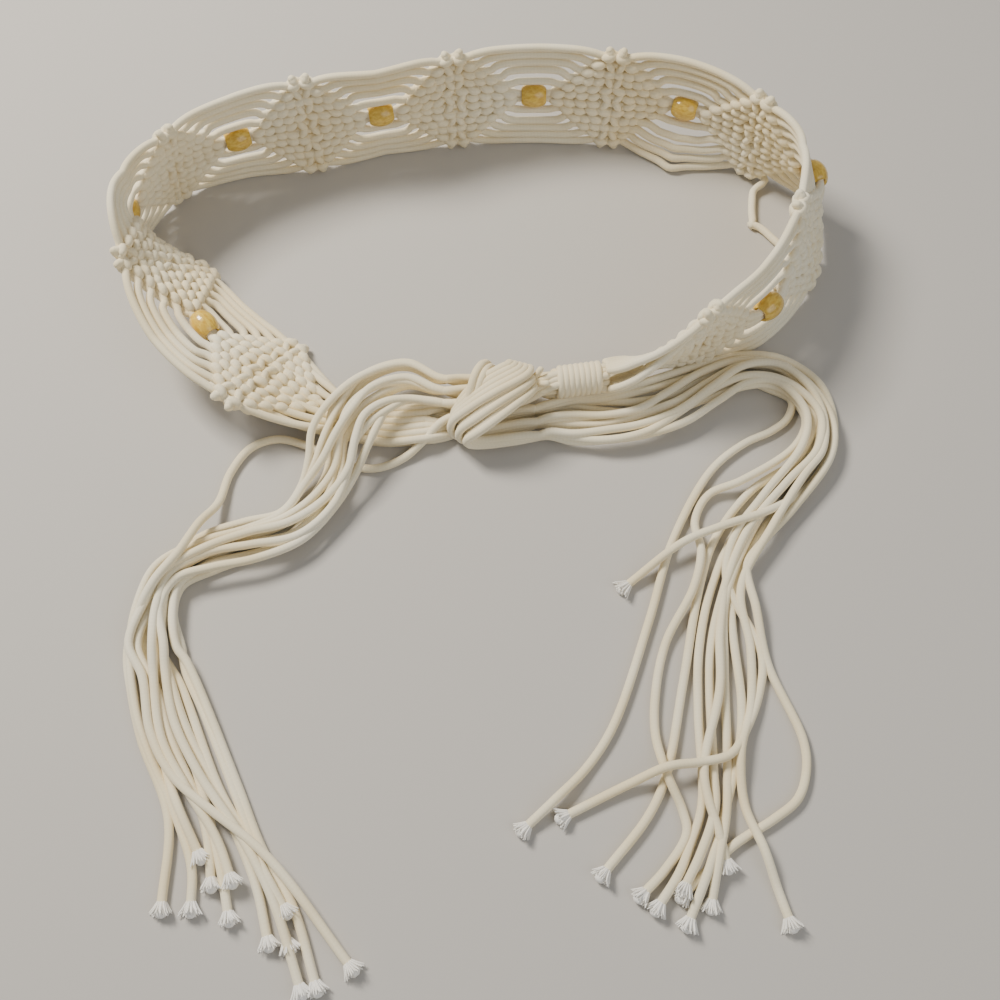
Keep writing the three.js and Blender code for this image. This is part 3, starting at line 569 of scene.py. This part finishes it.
def wound_cord():
    """Winds a cord round the gathered cords: a helix with a round section."""
    tree, given, end = new_tree("wound_cord", [
        ("Turns", "NodeSocketFloat", 8.5), ("Winding Radius", "NodeSocketFloat", 0.0055),
        ("Length", "NodeSocketFloat", 0.02), ("Cord Radius", "NodeSocketFloat", 0.0014),
        ("Material", "NodeSocketMaterial", None)])
    helix = add(tree, "GeometryNodeCurveSpiral", Resolution=22, Rotations=given["Turns"],
                Start_Radius=given["Winding Radius"], End_Radius=given["Winding Radius"],
                Height=given["Length"]).outputs[0]
    length = add(tree, "GeometryNodeSplineParameter").outputs["Length"]
    kept = add(tree, "GeometryNodeStoreNamedAttribute",
               {"data_type": "FLOAT", "domain": "POINT"}, Geometry=helix, Name="run",
               i3=length).outputs[0]
    ring = add(tree, "GeometryNodeCurvePrimitiveCircle", Resolution=10,
               Radius=given["Cord Radius"]).outputs[0]
    swept = add(tree, "GeometryNodeCurveToMesh", Curve=kept, Profile_Curve=ring,
                Fill_Caps=True).outputs[0]
    rounded = add(tree, "GeometryNodeSetShadeSmooth", Geometry=swept).outputs[0]
    finish_tree(tree, rounded, given["Material"], end)
    return tree


def frayed_end():
    """A tuft of loose cotton threads that spread round the combed core it is given."""
    tree, given, end = new_tree("frayed_end", [
        ("Thread", "NodeSocketObject", None), ("Threads", "NodeSocketInt", 44),
        ("Spread", "NodeSocketFloat", 0.62), ("Cord Radius", "NodeSocketFloat", 0.0016),
        ("Seed", "NodeSocketInt", 1), ("Material", "NodeSocketMaterial", None)])
    thread = add(tree, "GeometryNodeObjectInfo", i0=given["Thread"]).outputs["Geometry"]
    index = add(tree, "GeometryNodeInputIndex").outputs[0]
    share = add(tree, "ShaderNodeMath", {"operation": "DIVIDE"}, i0=index,
                i1=given["Threads"]).outputs[0]
    out = add(tree, "ShaderNodeMath", {"operation": "SQRT"}, i0=share).outputs[0]
    golden = add(tree, "ShaderNodeMath", {"operation": "MULTIPLY"}, i0=index, i1=2.39996).outputs[0]
    jitter = add(tree, "FunctionNodeRandomValue", {"data_type": "FLOAT"}, i2=-0.25, i3=0.25,
                 Seed=given["Seed"]).outputs[1]
    turn = add(tree, "ShaderNodeMath", {"operation": "ADD"}, i0=golden, i1=jitter).outputs[0]
    reach = add(tree, "ShaderNodeMath", {"operation": "MULTIPLY"}, i0=out,
                i1=given["Cord Radius"]).outputs[0]
    cosine = add(tree, "ShaderNodeMath", {"operation": "COSINE"}, i0=turn).outputs[0]
    sine = add(tree, "ShaderNodeMath", {"operation": "SINE"}, i0=turn).outputs[0]
    x = add(tree, "ShaderNodeMath", {"operation": "MULTIPLY"}, i0=cosine, i1=reach).outputs[0]
    y = add(tree, "ShaderNodeMath", {"operation": "MULTIPLY"}, i0=sine, i1=reach).outputs[0]
    place = add(tree, "ShaderNodeCombineXYZ", X=x, Y=y).outputs[0]
    points = add(tree, "GeometryNodePoints", Count=given["Threads"], Position=place).outputs[0]
    tilt = add(tree, "ShaderNodeMath", {"operation": "MULTIPLY"}, i0=out,
               i1=given["Spread"]).outputs[0]
    turned = add(tree, "ShaderNodeCombineXYZ", Y=tilt, Z=turn).outputs[0]
    size = add(tree, "FunctionNodeRandomValue", {"data_type": "FLOAT"}, i2=0.75, i3=1.15,
               Seed=given["Seed"]).outputs[1]
    set_out = add(tree, "GeometryNodeInstanceOnPoints", Points=points, Instance=thread,
                  Rotation=turned, Scale=size).outputs[0]
    both = add(tree, "GeometryNodeJoinGeometry", Geometry=set_out)
    tree.links.new(given["Geometry"], both.inputs[0])
    finish_tree(tree, both.outputs[0], given["Material"], end)
    return tree


def grown(base, tree, values):
    """The tree's result on the base mesh as a plain mesh. Inputs are set by identifier
    before the object is first evaluated."""
    holder = bpy.data.objects.new("holder", base)
    modifier = holder.modifiers.new("nodes", "NODES")
    modifier.node_group = tree
    names = {item.name: item.identifier for item in tree.interface.items_tree
             if item.in_out == "INPUT"}
    for name, value in values.items():
        modifier[names[name]] = value
    bpy.context.scene.collection.objects.link(holder)
    bpy.context.view_layer.update()
    graph = bpy.context.evaluated_depsgraph_get()
    result = bpy.data.meshes.new_from_object(holder.evaluated_get(graph), depsgraph=graph)
    holder.modifiers.remove(modifier)
    bpy.data.objects.remove(holder)
    return result


def pattern_mesh(name, parts):
    """A small source shape for a tree, kept out of the scene."""
    mesh = mesh_of(name, parts, shift=False)
    return bpy.data.objects.new(name, mesh)


def points_mesh(rows):
    """Points in metres with the turn and size that each copy on them takes."""
    mesh = bpy.data.meshes.new("points")
    mesh.from_pydata([row[0] for row in rows], [], [])
    for k, name in ((1, "turned"), (2, "sized")):
        layer = mesh.attributes.new(name, "FLOAT_VECTOR", "POINT")
        layer.data.foreach_set("vector", np.array([row[k] for row in rows], float).ravel())
    return mesh


TURNS = turns_on_points()
WOUND = wound_cord()
FRAYED = frayed_end()

# One thread of a tuft, curving outwards from the cord's end
THREAD_LENGTH = 4.4
rise = np.linspace(0, 1, 5)
thread = pattern_mesh("thread", [tube(
    np.array([rise ** 2 * 0.7, 0 * rise, rise * THREAD_LENGTH]).T,
    np.array([0.3, 0.34, 0.34, 0.3, 0.2]), sides=5)])
# The combed core of a tuft, wider towards its open end
TUFT_CORE = tube(np.array([0 * rise, 0 * rise, rise * 3.6]).T,
                 np.array([1.6, 1.9, 2.3, 2.5, 2.1]), sides=14)


def tuft_on(name, route, seed):
    """The frayed end of a free cord, in line with its last stretch."""
    tip = route[-1] - SHIFT * MM
    along = Vector(unit(route[-1] - route[-3]))
    core = mesh_of("combed_core", [TUFT_CORE], shift=False)
    mesh = grown(core, FRAYED, {"Thread": thread, "Threads": 60, "Spread": 0.45,
                                "Cord Radius": 1.7 * MM, "Seed": seed, "Material": FRAY})
    turn = along.to_track_quat("Z", "Y").to_matrix().to_4x4()
    mesh.transform(Matrix.Translation(Vector(tip + SHIFT * MM) - along * 1.2 * MM) @ turn)
    floor = 0.4 * MM
    for vertex in mesh.vertices:
        if vertex.co.z < floor:
            vertex.co.z = floor + (floor - vertex.co.z) * 0.15
    mesh.shade_smooth()
    return piece(name, mesh)


for side, free in (("left", left_free), ("right", right_free)):
    for n, (thing, route, length) in enumerate(free):
        tuft = tuft_on(f"{side}_frayed_end_{n + 1}", route, n + 7)


# The twelve cords of the band, from the gathered left end to the gathered right end
def band_cord(c):
    """One cord of the band: straight through the panels, arched in the windows."""
    edge = 22.0 - 4.0 * min(c, 11 - c)
    sign = 1 if c > 5 else -1
    nth = min(c, 11 - c)
    rows = []
    for place in np.arange(0, END_ROWS + 0.4, 0.25):
        rows.append((place, sign * edge, 0))
    for window in range(WINDOWS):
        middle = END_ROWS + 1 + 2 * window
        bulge = BEAD_BULGE[window] * CORD
        if nth == 5:
            run = [(-27, 2.2, 0), (-19, 2.1, 0.1), (-9.5, 1.7, 0.75), (-5, 1.2, 1), (0, 1.2, 1)]
            run = [(u, v, w * bulge) for u, v, w in run]
        else:
            reach = 27.8 - 4.1 * nth
            rest = [24.3, 21.0, 17.4, 13.4, 7.5][nth]
            run = [(-reach - 2.5, edge, 0), (-reach + 2.2, edge + (rest - edge) * 0.45, 0),
                   (-reach * 0.62, edge + (rest - edge) * 0.92, 0), (-reach * 0.3, rest, 0),
                   (0, rest, 0)]
        sag = 0.0
        if window == 5 and sign < 0 and nth < 5:
            sag = [13, 10, 7.5, 5, 2][nth]
        blunt = 0.8
        if window == 6 and sign < 0 and nth == 0:
            sag, blunt = 33, 0.42
        both = run + [(-u, v, w) for u, v, w in run[-2::-1]]
        for u, v, w in both:
            share = max(0, 1 - abs(u) / 27) ** blunt
            rows.append((middle + u / DRAWN_PITCH, sign * v, w - sag * share))
        if window < WINDOWS - 1:
            rows.append((middle + 1, sign * edge, 0))
    for place in np.arange(LAST_PANEL - 0.1, len(LOOP) - 0.99, 0.25):
        rows.append((place, sign * edge, 0))
    line = smooth(rows, 6)[0]
    place, v, w = line.T
    half = row_value(place, 4) * CORD / 2 - CORD_RADIUS
    deep = row_value(place, 5) * CORD / 2 - CORD_RADIUS
    ends = (place < END_ROWS) | (place > LAST_PANEL)
    gather = np.clip((20 - half) / 9, 0, 1)
    layer = -1 if c % 2 else 1
    v = np.where(ends, v / 22 * half, v)
    w = np.where(ends, layer * gather * deep, w)
    line = band_points(place, v, w)
    line[:, 2] = np.maximum(line[:, 2], LYING)
    return line


band_parts = [tube(evenly(band_cord(c), 1.8), CORD_RADIUS, sides=8) for c in range(12)]
band = piece("band_cords", mesh_of("band_cords", band_parts), COTTON)
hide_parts("macrame_band")


# The knots of a panel, each turn of cord a copy on a point
def oriented(place, v, w, along_turn):
    """Position in metres and turn for a copy whose X runs along the band turned by
    along_turn towards its upper edge, and whose Z points out of the band."""
    centre, along, across, out = (part[0] for part in band_frame(place))
    point = centre + across * v + out * w
    x = along * math.cos(along_turn) + across * math.sin(along_turn)
    turn = Matrix(np.array([x, np.cross(out, x), out]).T.tolist())
    return tuple((point + SHIFT) * MM), turn


reach = np.linspace(-1, 1, 5)
# A turn that shows as an oval on the face: its ends dip into the band
oval = pattern_mesh("oval", [tube(
    np.array([reach * 2.1, 0 * reach, -(reach ** 2) * 0.9]).T,
    1.95 - 0.3 * reach ** 2, sides=7)])
ovals = []
shaker = random.Random(5)


def shaken(value, amount):
    return value + shaker.uniform(-amount, amount)


def set_turn(place, v, w, turn, size=(1, 1, 1)):
    """One turn of cord in the band's face, out of it where w is above 0."""
    point, matrix = oriented(place, v, w, turn)
    if w < 0:
        matrix = matrix @ Matrix(np.diag([1, -1, -1]).tolist())
    ovals.append((point, tuple(matrix.to_euler()), tuple(shaken(s, 0.06) for s in size)))


def panel_knots(panel):
    """The turns of one panel. Its hitches lie in slanting rows beside the windows, and the
    cords cross between four square knots in its middle."""
    middle = END_ROWS + 2 * panel
    for face in (-1.75, 1.75):
        for nth in range(6):
            boundary = 5.4 + 4.25 * nth
            count = max(round(boundary / 5.0), 1)
            for end, sign, k in itertools.product((-1, 1), (1, -1), range(count)):
                u = boundary - 2.5 - boundary / count * k
                v = sign * (22.0 - 4.0 * nth)
                if k == count - 1 and nth % 2:
                    turn = end * sign * 1.0
                    size = (0.95, 0.85, 1)
                else:
                    turn = -end * sign * 0.24
                    size = (1, 1, 1)
                set_turn(middle + end * shaken(u, 0.3) / DRAWN_PITCH, shaken(v, 0.3),
                         shaken(face, 0.2), shaken(turn, 0.12), size)
        # Turns that close the panel's edge
        for end, sign in itertools.product((-1, 1), (1, -1)):
            set_turn(middle + end * 2.6 / DRAWN_PITCH, sign * 23.4, face * 0.4,
                     1.2 * sign * end, (0.9, 0.95, 1))


for panel in range(WINDOWS + 1):
    panel_knots(panel)

face = piece("knots_of_the_panels", grown(points_mesh(ovals), TURNS, {
    "Turn": oval, "Cord Thickness": 1.0, "Material": COTTON}))


# Beads
def bead(window):
    """A turned barrel bead with rounded rims and an open bore."""
    half = BEAD_LENGTH / 2
    barrel = [(BEAD_BORE, -half + 0.9), (BEAD_BORE + 0.25, -half + 0.15), (BEAD_BORE + 0.8, -half),
              (BEAD_END_RADIUS * 0.93, -half + 0.1)]
    for share in np.linspace(-0.92, 0.92, 11):
        barrel.append((BEAD_END_RADIUS + (BEAD_RADIUS - BEAD_END_RADIUS)
                       * (1 - abs(share) ** 2.1), share * half))
    barrel += [(r, -h) for r, h in barrel[3::-1]]
    barrel += [(BEAD_BORE, 0)]
    sides = 28
    vertices, faces, uvs = [], [], []
    for radius, height in barrel:
        for k in range(sides):
            turn = math.tau * k / sides
            vertices.append((radius * math.cos(turn), radius * math.sin(turn), height))
    rows = len(barrel)
    for i in range(rows):
        j = (i + 1) % rows
        for k in range(sides):
            n = (k + 1) % sides
            faces.append([i * sides + k, i * sides + n, j * sides + n, j * sides + k])
            low, high = barrel[i][1] / BEAD_LENGTH, barrel[j][1] / BEAD_LENGTH
            uvs += [(k / sides, low), ((k + 1) / sides, low), ((k + 1) / sides, high),
                    (k / sides, high)]
    mesh = bpy.data.meshes.new(f"barrel_bead_{window + 1}")
    mesh.from_pydata(vertices, [], faces)
    layer = mesh.uv_layers.new(name="UVMap")
    layer.data.foreach_set("uv", np.asarray(uvs, float).ravel())
    mesh.shade_smooth()
    point, along = bead_middle(window)
    turn = Vector(along).to_track_quat("Z", "Y").to_matrix().to_4x4()
    spin = Matrix.Rotation(1.7 * window, 4, "Z")
    mesh.transform(Matrix.Translation(Vector((point + SHIFT) * MM)) @ turn @ spin
                   @ Matrix.Scale(MM, 4))
    thing = piece(f"barrel_bead_{window + 1}", mesh, WOOD)
    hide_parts(f"bead_{window + 1}")


for window in range(WINDOWS):
    bead(window)

# The wound cord that gathers the right end
mesh = grown(points_mesh([((0, 0, 0), (0, 0, 0), (1, 1, 1))]), WOUND, {
    "Turns": 8.5, "Winding Radius": 5.3 * MM, "Length": (WRAP_LENGTH - 2.6) * MM,
    "Cord Radius": 1.45 * MM, "Material": COTTON})
turn = Vector(last_along).to_track_quat("Z", "Y").to_matrix().to_4x4()
mesh.transform(Matrix.Translation(Vector((last_end + last_along * 1.5 + SHIFT) * MM)) @ turn)
winding = piece("wound_cord", mesh)
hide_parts("gathering_knot")

# Where the wound cord is cut off, beside the half knot
cut = [tube(evenly([(14, 42, 15), (15.5, 41.5, 19.5), (18.5, 40.5, 21.5)], 1.0), 1.3, sides=8),
       tube(evenly([(13, 44, 15), (14, 44.5, 20), (16, 46, 23)], 1.0), 1.3, sides=8)]
piece("cut_ends_of_the_winding", mesh_of("cut_ends_of_the_winding", cut), COTTON)

# The half knot: the right end's cords run through, the left end's pass under, over and out
lead_in_core = lead_in(last_end, last_along, WRAP_LENGTH + 2 * GAP)
core_rows = ([(*last_end, 5.6, 5.6)] + [(*p, 6, 6) for p in lead_in_core] + CORE)
core = bundle_routes(core_rows, LEFT_LANES[1:], TWIST["left"])
turned_rows = ([(*p, 10, 3.8) for p in lead_in(first_end, first_along, GAP)] + UNDER[:4]
               + OVER + EXIT)
turned = bundle_routes(turned_rows, RIGHT_LANES, TWIST["right"])
# Each goes on from its own cord of the band
_, _, across, _ = (part[0] for part in band_frame(0))
ends = sorted((band_cord(c)[0] for c in range(12)), key=lambda end: np.dot(end, across))
turned.sort(key=lambda route: np.dot(route[0], across))
for route, end in zip(turned, ends):
    gone = np.append(0, np.cumsum(np.linalg.norm(np.diff(route, axis=0), axis=1)))
    left = 1 - np.clip(gone / JOINING, 0, 1)[:, None]
    route += (end - route[0]) * left ** 2 * (3 - 2 * left)
    route[:, 2] = np.maximum(route[:, 2], LYING)
# The lobe on the knot's top: cords that are drawn over the core and down behind it
lobe = bundle_routes([(-8, 31, 10, 6, 3.4), (-7, 34, 19, 7, 3.4), (-4.5, 41, 23.5, 7.5, 3.6),
                      (-2, 47.5, 18, 7, 3.4), (-1, 48.5, 10, 6, 3.4)],
                     [(lane / 2, layer) for lane in range(-2, 3) for layer in (0.6, 1.4)], 0)
knot_parts = [tube(evenly(route, 1.6), CORD_RADIUS, sides=10) for route in core + turned + lobe]
knot = piece("half_knot", mesh_of("half_knot", knot_parts), COTTON)
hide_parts("tie_knot")


# Floor and soft light
def sheet_material():
    material, tree, surface = new_material("matt_studio_paper")
    shader = add(tree, "ShaderNodeBsdfPrincipled", Base_Color=linear("#BEB9B0"), Roughness=0.9)
    tree.links.new(shader.outputs[0], surface)
    return material


floor_mesh = bpy.data.meshes.new("floor")
floor_mesh.from_pydata([(-4, -4, 0), (4, -4, 0), (4, 4, 0), (-4, 4, 0)], [], [(0, 1, 2, 3)])
floor_mesh.materials.append(sheet_material())
floor = bpy.data.objects.new("floor", floor_mesh)
bpy.context.scene.collection.objects.link(floor)


def soft_light(name, place, size, power, colour):
    data = bpy.data.lights.new(name, "AREA")
    data.size = size
    data.energy = power
    data.color = colour
    lamp = bpy.data.objects.new(name, data)
    bpy.context.scene.collection.objects.link(lamp)
    lamp.location = place
    lamp.rotation_euler = (-Vector(place)).to_track_quat("-Z", "Y").to_euler()


soft_light("key", (-0.6, 0.5, 0.9), 0.35, 20, (1, 0.96, 0.9))
soft_light("fill", (0.8, -0.7, 0.9), 1.2, 6, (0.95, 0.97, 1))
world = bpy.data.worlds.new("studio")
world.use_nodes = True
world.node_tree.nodes["Background"].inputs[0].default_value = (0.9, 0.93, 1, 1)
world.node_tree.nodes["Background"].inputs[1].default_value = 0.3
bpy.context.scene.world = world
